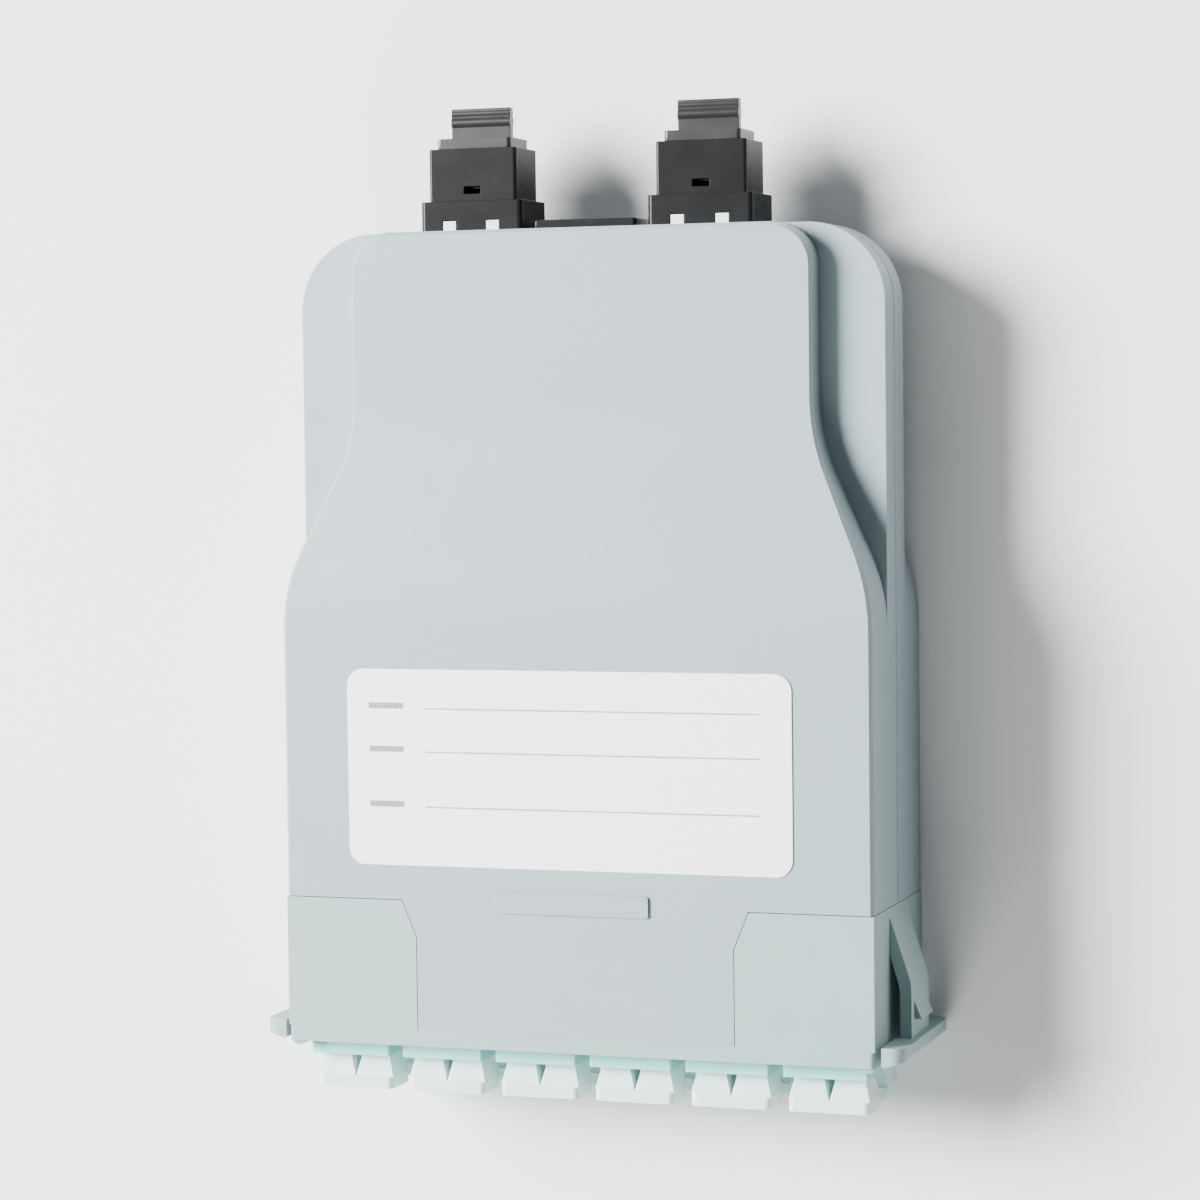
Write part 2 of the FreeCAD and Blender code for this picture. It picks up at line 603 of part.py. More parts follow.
def make_lc_plugs():
    """The pair of plugs in the back of one duplex adapter, with their boots."""
    tip = LC_PLUG_TIP
    end = tip + LC_PLUG_LENGTH
    plugs = []
    for x in port_xs(0):
        plug = along_y(LC_PLUG_WIDTH, LC_PLUG_HEIGHT, tip, end, x, LC_PORT_OFFSET)
        latch = along_y(LC_SLOT_WIDTH - 4 * FIT_GAP, LC_SLOT_HEIGHT, tip + 1, end - 3, x,
                        LC_PORT_OFFSET + LC_PLUG_HEIGHT / 2 + LC_SLOT_HEIGHT / 2 - 0.1)
        boot = taper_y((LC_BOOT_WIDTH * 1.5, LC_BOOT_WIDTH * 1.5), end,
                       (LC_BOOT_WIDTH, LC_BOOT_WIDTH), LC_BOOT_END, x, LC_PORT_OFFSET)
        ferrule = Part.makeCylinder(FERRULE_RADIUS, FERRULE_LENGTH + 1,
                                    Vec(x, tip - FERRULE_LENGTH, LC_PORT_OFFSET), Vec(0, 1, 0))
        plugs.append(joined([plug, latch, boot, ferrule]))
    return Part.makeCompound(plugs)


def placed_in_row(shape, row, x):
    """Move a front part to its column; the lower row stands upside down."""
    level = ROW_LEVELS[row]
    copy = shape.copy() if row == "upper" else flipped(shape, 0)
    copy.translate(Vec(x, 0, level))
    return copy


# ---------------------------------------------------------------- rear adapters, caps and blank
def make_mpo_adapter():
    """Rear adapter at X = 0, Z = 0: collar outside the wall, rib inside it."""
    z = 0.0
    pieces = [
        along_y(MPO_CORE_WIDTH, MPO_CORE_HEIGHT, MPO_FRONT, CASE_BACK, 0, z),
        along_y(MPO_RIB_WIDTH, MPO_COLLAR_HEIGHT, CASE_BACK - WALL - MPO_RIB_LENGTH, CASE_BACK - WALL, 0, z),
        along_y(MPO_COLLAR_WIDTH, MPO_COLLAR_HEIGHT, CASE_BACK, MPO_COLLAR_BACK, 0, z, MPO_COLLAR_RADIUS),
        along_y(MPO_BODY_WIDTH, MPO_CORE_HEIGHT, MPO_COLLAR_BACK, MPO_BACK, 0, z, 0.5),
    ]
    key_z = MPO_PORT_HEIGHT / 2 + MPO_KEY_HEIGHT / 2 - 0.1
    cuts = []
    for y0, y1 in ((MPO_BACK - MPO_PORT_DEPTH, MPO_BACK + 1), (MPO_FRONT - 1, MPO_FRONT + MPO_PORT_DEPTH)):
        cuts.append(along_y(MPO_PORT_WIDTH, MPO_PORT_HEIGHT, y0, y1, 0, z))
        cuts.append(along_y(MPO_KEY_WIDTH, MPO_KEY_HEIGHT + 0.2, y0, y1, 0, z + key_z))
    for side in (-HOOK_PITCH / 2, HOOK_PITCH / 2):
        half = HOOK_WIDTH / 2 + FIT_GAP
        low = MPO_COLLAR_HEIGHT / 2 - HOOK_HEIGHT - FIT_GAP
        notch = block(side - half, side + half, CASE_BACK - 0.5, CASE_BACK + HOOK_LENGTH + FIT_GAP,
                      low, MPO_COLLAR_HEIGHT)
        cuts += [notch, flipped(notch, 0)]
    window_y = MPO_COLLAR_BACK + MPO_WINDOW_LENGTH
    cuts.append(block(-MPO_WINDOW_WIDTH / 2, MPO_WINDOW_WIDTH / 2, window_y, window_y + MPO_WINDOW_LENGTH,
                      MPO_CORE_HEIGHT / 2 - 0.6, MPO_CORE_HEIGHT))
    return joined(pieces).cut(cuts)


def make_mpo_cap():
    """Dust cap: a plug in the port, a rim on the adapter's end and a pull tab with grip beads."""
    rim_back = MPO_BACK + MCAP_RIM_THICKNESS
    tab_end = rim_back + MCAP_TAB_LENGTH
    pieces = [
        along_y(MPO_PORT_WIDTH - 2 * FIT_GAP, MPO_PORT_HEIGHT - 2 * FIT_GAP, MPO_BACK - MCAP_PLUG_DEPTH,
                MPO_BACK),
        along_y(MCAP_RIM_WIDTH, MCAP_RIM_HEIGHT, MPO_BACK, rim_back, radius=0.6),
        along_y(MCAP_TAB_WIDTH, MCAP_TAB_THICKNESS, rim_back, tab_end),
    ]
    lip_radius = MCAP_BEAD_RADIUS * 0.8
    for y, radius in ((rim_back + MCAP_BEAD_Y, MCAP_BEAD_RADIUS), (tab_end - lip_radius, lip_radius)):
        start = Vec(-MCAP_TAB_WIDTH / 2, y, 0)
        pieces.append(Part.makeCylinder(radius, MCAP_TAB_WIDTH, start, Vec(1, 0, 0)))
    return joined(pieces)


def make_blank():
    """Plug that closes the unused middle opening of the rear wall."""
    return joined([
        along_y(MPO_CORE_WIDTH, MPO_CORE_HEIGHT, CASE_BACK - WALL, CASE_BACK, 0, MID),
        along_y(BLANK_WIDTH, MPO_COLLAR_HEIGHT, CASE_BACK, CASE_BACK + BLANK_THICKNESS, 0, MID, 0.5),
        along_y(MPO_RIB_WIDTH, MPO_COLLAR_HEIGHT, CASE_BACK - WALL - MPO_RIB_LENGTH, CASE_BACK - WALL, 0, MID),
    ])


def make_mpo_plug():
    """Connector in the inner side of a rear adapter, with its boot."""
    tip = MPO_PLUG_TIP
    shell_back = tip - MPO_PLUG_LENGTH
    shell_front = shell_back - MPO_SHELL_LENGTH
    return joined([
        along_y(MPO_PORT_WIDTH - 4 * FIT_GAP, MPO_PORT_HEIGHT - 4 * FIT_GAP, shell_back, tip),
        along_y(MPO_SHELL_WIDTH, MPO_SHELL_HEIGHT, shell_front, min(shell_back, MPO_FRONT), radius=0.6),
        taper_y((BUNDLE_RADIUS * 3, BUNDLE_RADIUS * 3), MPO_BOOT_END,
                (MPO_SHELL_HEIGHT * 0.8, MPO_SHELL_HEIGHT * 0.7), shell_front),
    ])


# ---------------------------------------------------------------- fibres
def bend(start, end, axis):
    """Two tangent arcs that carry a line parallel to the axis from start to end."""
    offset = end - start
    along = axis * offset.dot(axis)
    side = offset - along
    if side.Length < 1e-6:
        return [Part.makeLine(start, end)]
    length = along.Length
    radius = (length ** 2 + side.Length ** 2) / (4 * side.Length)
    direction = Vec(along).normalize()
    lateral = Vec(side).normalize()
    half_angle = math.asin(length / 2 / radius) / 2
    reach = radius * math.sin(half_angle)
    drop = radius * (1 - math.cos(half_angle))
    middle = start + offset * 0.5
    first = start + direction * reach + lateral * drop
    second = end - direction * reach - lateral * drop
    return [Part.Arc(start, first, middle).toShape(), Part.Arc(middle, second, end).toShape()]


def make_tail(start, end):
    """Flat strand of two fibres from the fan-out to one pair of plugs."""
    path = Part.Wire(bend(start, end, Vec(0, 1, 0)))
    corners = rectangle(TAIL_WIDTH, TAIL_THICKNESS, 0, start.x, start.z)
    section = outline(corners, lambda u, v: Vec(u, start.y, v))
    return path.makePipeShell([section], True, False)


def make_harness(side):
    """Fibre bundle from a rear connector, past the guide walls, to a fan-out block and its tails."""
    sign = -1 if side == "left" else 1
    x = sign * (GUIDE_RADIUS + BUNDLE_CLEARANCE + BUNDLE_RADIUS)
    start = Vec(MPO_XS[side], MPO_BOOT_END, MID)
    level_start = Vec(x, GUIDE_Y, BUNDLE_LEVEL)
    bundle_end = Vec(x, FANOUT_BACK - FANOUT_LENGTH / 4, BUNDLE_LEVEL)
    path = Part.Wire(bend(start, level_start, Vec(0, 1, 0)) + [Part.makeLine(level_start, bundle_end)])
    section = Part.Wire(Part.makeCircle(BUNDLE_RADIUS, start, Vec(0, 1, 0)))
    bundle = path.makePipeShell([section], True, False)
    fanout = along_y(FANOUT_WIDTH, FANOUT_HEIGHT, FANOUT_BACK - FANOUT_LENGTH, FANOUT_BACK, x,
                     BUNDLE_LEVEL, 0.5)
    pieces = [bundle, fanout]
    columns = [column for column in COLUMN_XS if column * sign > 0]
    for row, z in ROW_LEVELS.items():
        lift = TAIL_THICKNESS if row == "upper" else -TAIL_THICKNESS
        port_z = z + (LC_PORT_OFFSET if row == "upper" else -LC_PORT_OFFSET)
        for i, column in enumerate(columns):
            spread = (i - (len(columns) - 1) / 2) * TAIL_WIDTH * 1.4
            tail_start = Vec(x + spread, FANOUT_BACK - FANOUT_LENGTH + TAIL_BITE, BUNDLE_LEVEL + lift)
            pieces.append(make_tail(tail_start, Vec(column, LC_BOOT_END, port_z)))
    return joined(pieces)


# ---------------------------------------------------------------- screws and label
def make_screws():
    screws = []
    for x, y in BOSS_PLACES:
        shank = upright(SCREW_RADIUS, x, y, SCREW_SEAT - 0.2, MID + SCREW_BITE)
        head = upright(SCREW_HEAD_RADIUS, x, y, SCREW_SEAT - SCREW_HEAD_HEIGHT, SCREW_SEAT)
        screws.append(joined([shank, head]))
    return Part.makeCompound(screws)


def make_label():
    corners = rectangle(LABEL_WIDTH, LABEL_LENGTH, LABEL_RADIUS, LABEL_OFFSET,
                        LABEL_FRONT + LABEL_LENGTH / 2)
    return prism(corners, "xy", CASE_HEIGHT, CASE_HEIGHT + LABEL_THICKNESS)


# ---------------------------------------------------------------- all nodes
def build():
    nodes = {
        "top_cover": make_top_cover(),
        "bottom_cover": make_bottom_cover(),
        "front_frame": make_front_frame(),
        "label": make_label(),
        "cover_screws": make_screws(),
        "rear_blank": make_blank(),
    }
    adapter = make_mpo_adapter()
    cap = make_mpo_cap()
    plug = make_mpo_plug()
    for side, x in MPO_XS.items():
        for name, shape in (("mpo_adapter", adapter), ("mpo_dust_cap", cap), ("mpo_connector", plug)):
            copy = shape.copy()
            copy.translate(Vec(x, 0, MID))
            nodes[f"{name}_{side}"] = copy
        nodes[f"fibre_harness_{side}"] = make_harness(side)
    adapter = make_lc_adapter()
    cap = make_lc_cap()
    plugs = make_lc_plugs()
    for row in ROW_LEVELS:
        for i, x in enumerate(COLUMN_XS, start=1):
            nodes[f"lc_adapter_{row}_{i}"] = placed_in_row(adapter, row, x)
            nodes[f"lc_dust_cap_{row}_{i}"] = placed_in_row(cap, row, x)
            nodes[f"lc_plugs_{row}_{i}"] = placed_in_row(plugs, row, x)
    return nodes


os.makedirs("parts", exist_ok=True)
for name, shape in build().items():
    shape.exportStep(f"parts/{name}.step")
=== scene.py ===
import json
import math

import bmesh
import bpy
from mathutils import Matrix, Vector


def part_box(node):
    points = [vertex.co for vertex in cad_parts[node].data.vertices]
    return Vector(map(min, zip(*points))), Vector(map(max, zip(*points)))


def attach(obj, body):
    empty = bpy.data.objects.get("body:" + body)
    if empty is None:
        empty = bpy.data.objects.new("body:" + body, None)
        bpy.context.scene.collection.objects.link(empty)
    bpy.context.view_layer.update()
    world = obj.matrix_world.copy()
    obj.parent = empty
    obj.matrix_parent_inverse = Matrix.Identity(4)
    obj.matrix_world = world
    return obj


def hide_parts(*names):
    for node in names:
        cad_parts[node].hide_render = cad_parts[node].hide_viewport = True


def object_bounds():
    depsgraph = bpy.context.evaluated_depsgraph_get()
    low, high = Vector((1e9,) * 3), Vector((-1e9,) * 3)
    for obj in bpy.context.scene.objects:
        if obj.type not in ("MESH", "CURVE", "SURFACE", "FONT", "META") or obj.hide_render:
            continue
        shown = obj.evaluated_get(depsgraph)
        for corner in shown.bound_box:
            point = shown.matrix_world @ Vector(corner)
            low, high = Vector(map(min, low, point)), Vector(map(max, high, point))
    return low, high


# Looks of the fibre cassette: every moulded piece is rebuilt from its CAD node with softened edges
# and a procedural plastic, the rear hooks get a painted highlight (near-white over the case plastic),
# the cover screws their cross recess, and the label its printed rules. Metres, in the CAD's own frame.

MM = 0.001
CASE_BODY = "case"

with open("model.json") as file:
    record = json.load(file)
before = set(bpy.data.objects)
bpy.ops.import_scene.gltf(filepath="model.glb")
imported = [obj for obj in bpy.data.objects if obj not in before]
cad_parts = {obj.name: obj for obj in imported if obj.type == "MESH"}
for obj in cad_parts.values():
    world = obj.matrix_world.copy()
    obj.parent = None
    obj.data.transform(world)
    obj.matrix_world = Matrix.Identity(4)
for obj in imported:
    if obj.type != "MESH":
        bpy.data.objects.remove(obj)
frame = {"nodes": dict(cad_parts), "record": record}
cad_low, cad_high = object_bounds()
NODES = frame["nodes"]
BODY_OF = {node: body for body, nodes in frame["record"]["behaviour"]["bodies"].items() for node in nodes}
SLOT_OF = {part["node"]: part["material_slot"] for part in frame["record"]["subparts"]}


# ---------------------------------------------------------------- materials
NOISE_LOW, NOISE_HIGH = 0.3, 0.7  # most of a noise texture's values lie between these
DRIFT_SCALE = 45.0
SHEEN_SCALE = 160.0
WAVE_SCALE = 90.0
WAVE_DEPTH = 0.04 * MM
SHEEN_SPREAD = 0.08
FLECK_SHARE = 0.7  # of the grain's scale, and of the spread of colour


class Shader:
    """A material's node tree with short helpers for building it."""

    def __init__(self, name):
        self.material = bpy.data.materials.new(name)
        self.material.use_nodes = True
        self.nodes = self.material.node_tree.nodes
        self.links = self.material.node_tree.links
        self.surface = self.nodes["Principled BSDF"]
        coords = self.nodes.new("ShaderNodeTexCoord")
        self.place = coords.outputs["Object"]

    def join(self, source, target):
        self.links.new(source, target)

    def noise(self, scale, detail=2.0, roughness=0.5):
        node = self.nodes.new("ShaderNodeTexNoise")
        node.inputs["Scale"].default_value = scale
        node.inputs["Detail"].default_value = detail
        node.inputs["Roughness"].default_value = roughness
        self.join(self.place, node.inputs["Vector"])
        return node.outputs["Fac"]

    def remap(self, value, low, high):
        node = self.nodes.new("ShaderNodeMapRange")
        node.inputs["From Min"].default_value = NOISE_LOW
        node.inputs["From Max"].default_value = NOISE_HIGH
        node.inputs["To Min"].default_value = low
        node.inputs["To Max"].default_value = high
        self.join(value, node.inputs["Value"])
        return node.outputs["Result"]

    def mix(self, factor, first, second):
        """Two colours mixed; each is a tuple or another node's output."""
        node = self.nodes.new("ShaderNodeMix")
        node.data_type = "RGBA"
        self.join(factor, node.inputs["Factor"])
        for socket, value in ((node.inputs["A"], first), (node.inputs["B"], second)):
            if isinstance(value, tuple):
                socket.default_value = (*value, 1.0)
            else:
                self.join(value, socket)
        return node.outputs["Result"]

    def bump(self, height, distance, strength, normal=None):
        node = self.nodes.new("ShaderNodeBump")
        node.inputs["Strength"].default_value = strength
        node.inputs["Distance"].default_value = distance
        self.join(height, node.inputs["Height"])
        if normal is not None:
            self.join(normal, node.inputs["Normal"])
        return node.outputs["Normal"]


def scaled(colour, share):
    return tuple(min(1.0, channel * share) for channel in colour)


def moulded_plastic(name, colour, roughness, grain, grain_depth, spread=0.03, gloss=0.5):
    """Moulded plastic: spark-eroded grain, a slow drift of colour and of sheen, flow waviness."""
    shader = Shader(name)
    surface = shader.surface
    drift = shader.remap(shader.noise(DRIFT_SCALE, 3.0), 0.0, 1.0)
    fleck = shader.remap(shader.noise(grain * FLECK_SHARE, 1.0), 0.0, 1.0)
    base = shader.mix(drift, scaled(colour, 1 - spread), scaled(colour, 1 + spread))
    speckled = shader.mix(fleck, base, scaled(colour, 1 - spread * FLECK_SHARE))
    shader.join(speckled, surface.inputs["Base Color"])
    sheen = shader.remap(shader.noise(SHEEN_SCALE, 4.0), roughness * (1 - SHEEN_SPREAD),
                         roughness * (1 + SHEEN_SPREAD))
    shader.join(sheen, surface.inputs["Roughness"])
    waves = shader.bump(shader.noise(WAVE_SCALE, 1.0), WAVE_DEPTH, 0.35)
    texture = shader.bump(shader.noise(grain, 3.0, 0.6), grain_depth, 0.6, waves)
    shader.join(texture, surface.inputs["Normal"])
    surface.inputs["IOR"].default_value = 1.5
    surface.inputs["Specular IOR Level"].default_value = gloss
    return shader.material


def translucent_plastic(name, colour, roughness, depth, amount):
    """Thin satin plastic that lets some light through."""
    material = moulded_plastic(name, colour, roughness, 900.0, 0.01 * MM, 0.02)
    surface = material.node_tree.nodes["Principled BSDF"]
    surface.inputs["Subsurface Weight"].default_value = amount
    surface.inputs["Subsurface Radius"].default_value = (1.0, 1.0, 0.9)
    surface.inputs["Subsurface Scale"].default_value = depth
    return material


def dark_plastic(name, grey, gloss):
    """Near-black satin plastic of the rear ports; gloss sets how much of the lamps it mirrors."""
    return moulded_plastic(name, (grey, grey, grey + 0.001), 0.26, 1600.0, 0.008 * MM, 0.12, gloss)


def plated_steel(name):
    """Zinc-plated steel of small screws, with a fine grain."""
    shader = Shader(name)
    surface = shader.surface
    cloud = shader.remap(shader.noise(500.0, 3.0), 0.0, 1.0)
    shader.join(shader.mix(cloud, (0.52, 0.52, 0.54), (0.62, 0.62, 0.62)), surface.inputs["Base Color"])
    shader.join(shader.remap(shader.noise(1500.0, 2.0), 0.28, 0.42), surface.inputs["Roughness"])
    shader.join(shader.bump(shader.noise(2500.0), 0.01 * MM, 0.5), surface.inputs["Normal"])
    surface.inputs["Metallic"].default_value = 1.0
    return shader.material


def label_film(name):
    """White film with the faint tooth of coated paper."""
    shader = Shader(name)
    surface = shader.surface
    tooth = shader.remap(shader.noise(2200.0, 3.0), 0.0, 1.0)
    shader.join(shader.mix(tooth, (0.91, 0.91, 0.91), (0.95, 0.95, 0.95)), surface.inputs["Base Color"])
    shader.join(shader.remap(shader.noise(300.0, 2.0), 0.42, 0.52), surface.inputs["Roughness"])
    shader.join(shader.bump(shader.noise(1800.0, 2.0), 0.006 * MM, 0.4), surface.inputs["Normal"])
    return shader.material


def printed_ink(name):
    """Grey print of the label's rules, slightly uneven."""
    shader = Shader(name)
    surface = shader.surface
    cover = shader.remap(shader.noise(3000.0, 2.0), 0.0, 1.0)
    shader.join(shader.mix(cover, (0.20, 0.20, 0.21), (0.28, 0.28, 0.29)), surface.inputs["Base Color"])
    shader.join(shader.remap(shader.noise(900.0), 0.5, 0.6), surface.inputs["Roughness"])
    return shader.material


def floor_finish(name):
    """Pale, even studio floor."""
    shader = Shader(name)
    cloud = shader.remap(shader.noise(8.0), 0.0, 1.0)
    tone = shader.mix(cloud, (0.80, 0.80, 0.80), (0.82, 0.82, 0.82))
    shader.join(tone, shader.surface.inputs["Base Color"])
    shader.surface.inputs["Roughness"].default_value = 0.8
    return shader.material


MATERIALS = {
    "case_plastic": moulded_plastic("case_grey", (0.25, 0.33, 0.347), 0.5, 1400.0, 0.02 * MM),
    "frame_plastic": moulded_plastic("frame_grey", (0.25, 0.36, 0.355), 0.5, 1400.0, 0.02 * MM),
    "aqua_plastic": translucent_plastic("adapter_aqua", (0.26, 0.68, 0.63), 0.38, 0.6 * MM, 0.25),
    "white_plastic": translucent_plastic("cap_white", (0.62, 0.79, 0.755), 0.35, 1.0 * MM, 0.4),
    "black_plastic": dark_plastic("port_black", 0.010, 0.14),
    "grey_cap_plastic": dark_plastic("cap_black", 0.020, 0.5),
    "label_film": label_film("label_white"),
    "screw_steel": plated_steel("screw_zinc"),
    "fibre_jacket": moulded_plastic("fibre_aqua", (0.16, 0.52, 0.50), 0.4, 800.0, 0.01 * MM),
}
INK = printed_ink("label_ink")
# Painted highlight: the hooks are moulded in the case plastic, and this near-white stands in for the
# light they catch.
HOOK_PAINTED_HIGHLIGHT = moulded_plastic("hook_painted_highlight", (0.74, 0.76, 0.76), 0.45, 1400.0, 0.01 * MM)


def paint(piece, node):
    """Gives the piece the finish that belongs to the node's slot in the record."""
    slot = SLOT_OF[node]
    piece.data.materials.clear()
    piece.data.materials.append(MATERIALS[slot])


# ---------------------------------------------------------------- pieces made from the CAD nodes
# How far each kind of piece has its edges rounded. The kinds that aren't here keep the CAD's edges.
EDGES = {
    "top_cover": 0.22 * MM,
    "bottom_cover": 0.22 * MM,
    "front_frame": 0.2 * MM,
    "label": 0.06 * MM,
    "rear_blank": 0.2 * MM,
    "mpo_adapter": 0.22 * MM,
    "mpo_dust_cap": 0.25 * MM,
    "lc_adapter": 0.15 * MM,
    "lc_dust_cap": 0.3 * MM,
}
# Kinds with wide flat faces round their openings, which mesh badly unless they are split up.
PIERCED = ("lc_adapter", "front_frame")
WELD = 0.002 * MM
FLAT_ANGLE = math.radians(0.4)
SHARP_ANGLE = math.radians(28)
EDGE_SEGMENTS = 3

HOOK_LENGTH = 1.6 * MM
HOOK_SLACK = 0.01 * MM


def add_object(name, mesh):
    """An object from a finished bmesh, in the scene."""
    data = bpy.data.meshes.new(name)
    mesh.to_mesh(data)
    mesh.free()
    added = bpy.data.objects.new(name, data)
    bpy.context.scene.collection.objects.link(added)
    return added


def soften(node, edge):
    """A piece in the node's shape with its sharp edges rounded; it stands for the node."""
    mesh = bmesh.new()
    mesh.from_mesh(NODES[node].data)
    bmesh.ops.remove_doubles(mesh, verts=mesh.verts, dist=WELD)
    bmesh.ops.dissolve_limit(mesh, angle_limit=FLAT_ANGLE, verts=mesh.verts, edges=mesh.edges)
    if node.startswith(PIERCED):
        bmesh.ops.connect_verts_concave(mesh, faces=mesh.faces)
    for face in mesh.faces:
        face.smooth = True
    piece = add_object(node + "_moulded", mesh)
    bevel = piece.modifiers.new("edges", "BEVEL")
    bevel.width = edge
    bevel.segments = EDGE_SEGMENTS
    bevel.limit_method = "ANGLE"
    bevel.angle_limit = SHARP_ANGLE
    bevel.miter_outer = "MITER_ARC"
    bevel.use_clamp_overlap = True
    bevel.harden_normals = True
    weighted = piece.modifiers.new("normals", "WEIGHTED_NORMAL")
    weighted.keep_sharp = True
    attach(piece, BODY_OF[node])
    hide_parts(node)
    paint(piece, node)


def build_pieces():
    """Every node: softened where its kind has an edge in the table, and otherwise only finished."""
    for node, solid in NODES.items():
        kind = next((kind for kind in EDGES if node.startswith(kind)), None)
        if kind is None:
            solid.data.materials.clear()
            solid.data.materials.append(MATERIALS[SLOT_OF[node]])
        else:
            soften(node, EDGES[kind])


def paint_hook_highlights(node):
    """The hooks that hold the rear adapters stand out behind the cover's rear wall; their case plastic
    gets a painted highlight in near-white.
    """
    rear_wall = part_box(node)[1][1] - HOOK_LENGTH
    cover = bpy.data.objects[node + "_moulded"]
    # The faces behind the rear wall get the painted highlight in a second slot.
    cover.data.materials.append(HOOK_PAINTED_HIGHLIGHT)
    for polygon in cover.data.polygons:
        if polygon.center.y > rear_wall + HOOK_SLACK:
            polygon.material_index = 1


# ---------------------------------------------------------------- print on the label
PRINT_LIFT = 0.004 * MM
RULE_PLACES = (0.80, 0.58, 0.30)  # up the label's length
FIELD_BAR = (0.05, 0.13)  # from and to, across the label's width
WRITING_RULE = (0.18, 0.93)
FIELD_BAR_HEIGHT = 0.9 * MM
FIELD_BAR_RISE = 0.4 * MM
WRITING_RULE_HEIGHT = 0.2 * MM


def strip(mesh, x0, x1, y, height, z):
    """A flat bar of print from x0 to x1, centred on y."""
    corners = [(x0, y - height / 2), (x1, y - height / 2), (x1, y + height / 2), (x0, y + height / 2)]
    mesh.faces.new([mesh.verts.new((u, v, z)) for u, v in corners])


def make_label_print():
    """Field bars and thin rules on the label, for writing on."""
    low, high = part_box("label")
    z = high[2] + PRINT_LIFT
    width = high[0] - low[0]
    length = high[1] - low[1]
    mesh = bmesh.new()
    for place in RULE_PLACES:
        y = low[1] + length * place
        bar = [low[0] + width * share for share in FIELD_BAR]
        rule = [low[0] + width * share for share in WRITING_RULE]
        strip(mesh, *bar, y + FIELD_BAR_RISE, FIELD_BAR_HEIGHT, z)
        strip(mesh, *rule, y, WRITING_RULE_HEIGHT, z)
    rules = add_object("label_rules", mesh)
    rules.data.materials.append(INK)
    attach(rules, CASE_BODY)


# ---------------------------------------------------------------- cover screws
# Pan heads with a cross recess, down in their wells. They are driven from below.
HEAD_RADIUS = 2.1 * MM
HEAD_HEIGHT = 1.5 * MM
SHANK_RADIUS = 1.1 * MM
# The head's rounded rim: radius, and height above its outer face.
HEAD_RIM = [(1.75 * MM, 0.0), (1.93 * MM, 0.06 * MM), (2.05 * MM, 0.2 * MM), (HEAD_RADIUS, 0.42 * MM)]
HEAD_PROFILE = HEAD_RIM + [(HEAD_RADIUS, HEAD_HEIGHT), (SHANK_RADIUS, HEAD_HEIGHT)]
HEAD_POINTS = 40
CROSS_REACH = 1.15 * MM
CROSS_HALF_WIDTH = 0.24 * MM
CROSS_DEPTH = 0.9 * MM
CROSS_TAPER = 0.45


def circle(centre, radius):
    """Points of a level circle."""
    turns = [2 * math.pi * i / HEAD_POINTS for i in range(HEAD_POINTS)]
    return [centre + Vector((radius * math.cos(turn), radius * math.sin(turn), 0)) for turn in turns]


def cross_outline(centre, share):
    """The twelve corners of a cross, its arms drawn in to a share of their reach."""
    reach, half = CROSS_REACH * share, CROSS_HALF_WIDTH
    points = []
    for i in range(4):
        turn = Matrix.Rotation(math.radians(90 * i), 3, "Z")
        for x, y in ((reach, -half), (reach, half), (half, half)):
            points.append(centre + turn @ Vector((x, y, 0)))
    return points


def add_loop(mesh, points):
    return [mesh.verts.new(point) for point in points]


def bridge(mesh, first, second, smooth=True):
    """A band of faces between two loops with as many points."""
    count = len(first)
    for i in range(count):
        following = (i + 1) % count
        face = mesh.faces.new((first[i], first[following], second[following], second[i]))
        face.smooth = smooth


def add_screw(mesh, x, y, bottom, top):
    """One screw from its head's outer face up to the shank's end."""
    face = Vector((x, y, bottom))
    loops = [add_loop(mesh, circle(face + Vector((0, 0, up)), radius)) for radius, up in HEAD_PROFILE]
    loops.append(add_loop(mesh, circle(Vector((x, y, top)), SHANK_RADIUS)))
    for first, second in zip(loops, loops[1:]):
        bridge(mesh, first, second)
    mesh.faces.new(loops[-1])
    mouth = add_loop(mesh, cross_outline(face, 1.0))
    floor = add_loop(mesh, cross_outline(face + Vector((0, 0, CROSS_DEPTH)), CROSS_TAPER))
    bridge(mesh, mouth, floor, smooth=False)
    mesh.faces.new(floor)
    rims = []
    for loop in (loops[0], mouth):
        rims += [mesh.edges.get((loop[i - 1], loop[i])) for i in range(len(loop))]
    bmesh.ops.triangle_fill(mesh, edges=rims, use_beauty=True)


def make_cover_screws():
    low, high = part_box("cover_screws")
    mesh = bmesh.new()
    for x in (low[0] + HEAD_RADIUS, high[0] - HEAD_RADIUS):
        for y in (low[1] + HEAD_RADIUS, high[1] - HEAD_RADIUS):
            add_screw(mesh, x, y, low[2], high[2])
    bmesh.ops.recalc_face_normals(mesh, faces=mesh.faces)
    screws = add_object("cover_screws_cross", mesh)
    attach(screws, CASE_BODY)
    paint(screws, "cover_screws")
    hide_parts("cover_screws")


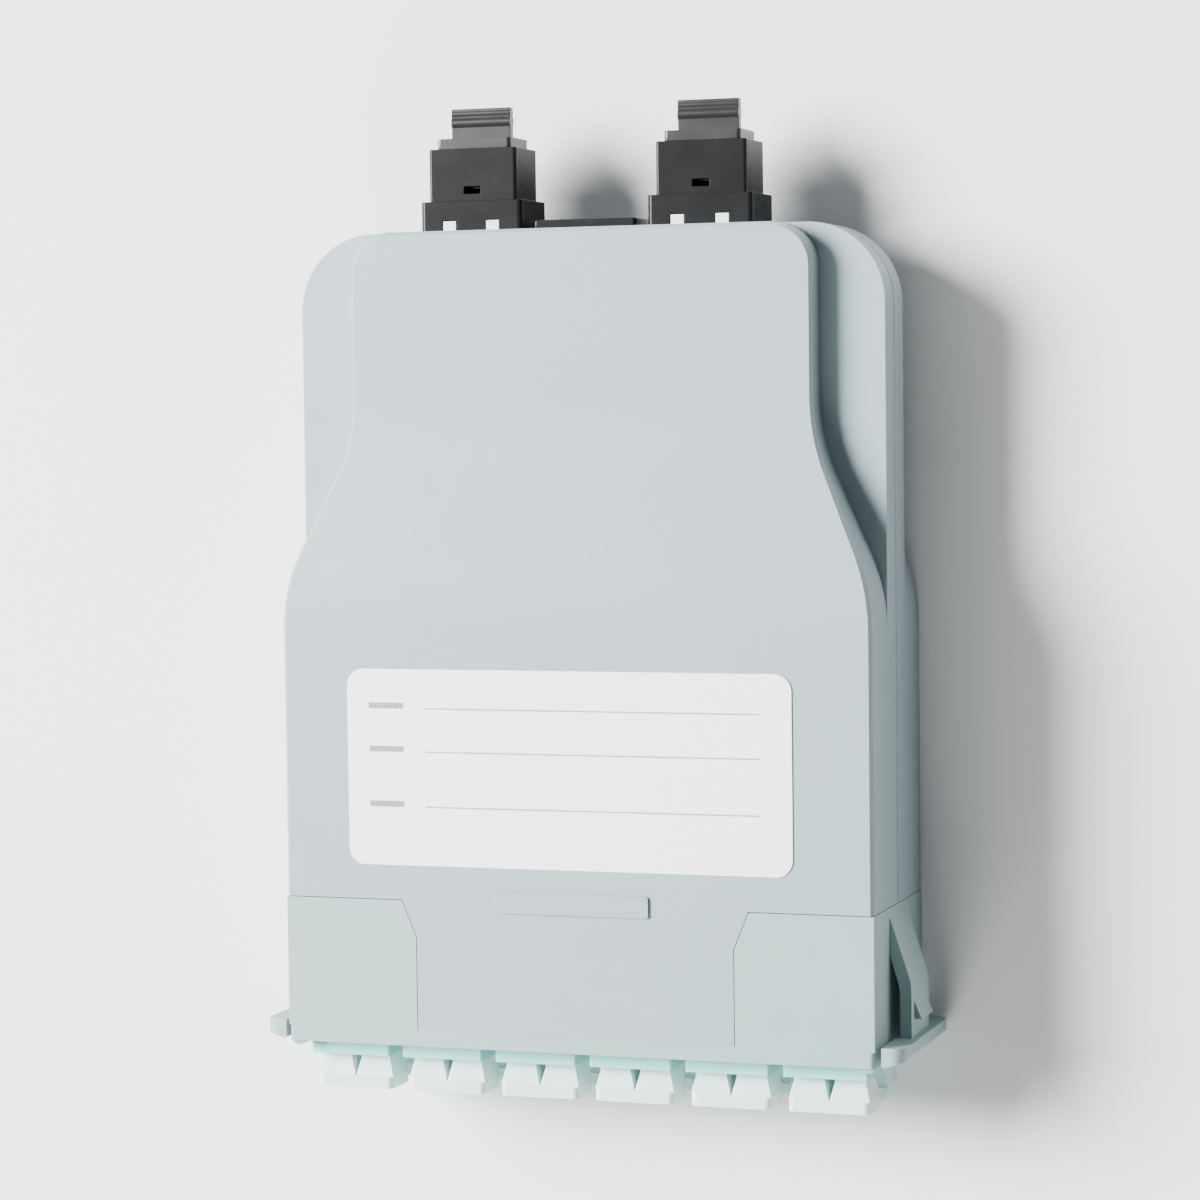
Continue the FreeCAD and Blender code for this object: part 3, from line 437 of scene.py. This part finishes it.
# ---------------------------------------------------------------- floor, lights and camera
FLOOR_HALF = 3.0
FLOOR_GAP = 0.05 * MM
KEY_PLACE = (-1.34, 0.50, 1.30)  # behind on the left, so that the black ports stay dark
KEY_SIZE, KEY_POWER = 1.0, 205.0
FILL_PLACE = (-0.15, -0.98, 0.65)
FILL_SIZE, FILL_POWER = 0.8, 12.0
SKY_COLOUR = (0.95, 0.97, 1.0, 1.0)
SKY_STRENGTH = 0.3
CAMERA_PLACE = Vector((0.168, 0.0928, 0.511))
CAMERA_LENS = 104
CAMERA_SENSOR = 36
CAMERA_ROLL = math.radians(0.7)
CAMERA_NEAR = 0.01


def make_floor():
    z = cad_low[2] - FLOOR_GAP
    corners = [(-1, -1), (1, -1), (1, 1), (-1, 1)]
    mesh = bmesh.new()
    mesh.faces.new([mesh.verts.new((FLOOR_HALF * x, FLOOR_HALF * y, z)) for x, y in corners])
    floor = add_object("floor", mesh)
    floor.data.materials.append(floor_finish("floor_pale"))


def area_light(name, place, target, size, power):
    light = bpy.data.lights.new(name, "AREA")
    light.shape = "DISK"
    light.size = size
    light.energy = power
    lamp = bpy.data.objects.new(name, light)
    lamp.location = place
    lamp.rotation_euler = (target - Vector(place)).to_track_quat("-Z", "Y").to_euler()
    bpy.context.scene.collection.objects.link(lamp)


def make_lights():
    centre = (cad_low + cad_high) / 2
    area_light("key", KEY_PLACE, centre, KEY_SIZE, KEY_POWER)
    area_light("fill", FILL_PLACE, centre, FILL_SIZE, FILL_POWER)
    world = bpy.data.worlds.new("studio")
    world.use_nodes = True
    background = world.node_tree.nodes["Background"]
    background.inputs["Color"].default_value = SKY_COLOUR
    background.inputs["Strength"].default_value = SKY_STRENGTH
    bpy.context.scene.world = world


def make_camera():
    """Looks down at the cassette from its right, with the rear up in the picture."""
    target = (cad_low + cad_high) / 2
    forward = (target - CAMERA_PLACE).normalized()
    right = forward.cross(Vector((0, 1, 0))).normalized()
    up = right.cross(forward)
    turn = Matrix((right, up, -forward)).transposed()
    camera = bpy.data.cameras.new("camera")
    camera.lens = CAMERA_LENS
    camera.sensor_width = CAMERA_SENSOR
    camera.clip_start = CAMERA_NEAR
    stand = bpy.data.objects.new("camera", camera)
    roll = Matrix.Rotation(-CAMERA_ROLL, 4, "Z")
    stand.matrix_world = Matrix.Translation(CAMERA_PLACE) @ turn.to_4x4() @ roll
    bpy.context.scene.collection.objects.link(stand)
    bpy.context.scene.camera = stand


build_pieces()
paint_hook_highlights("top_cover")
paint_hook_highlights("bottom_cover")
make_cover_screws()
make_label_print()
make_floor()
make_lights()
make_camera()
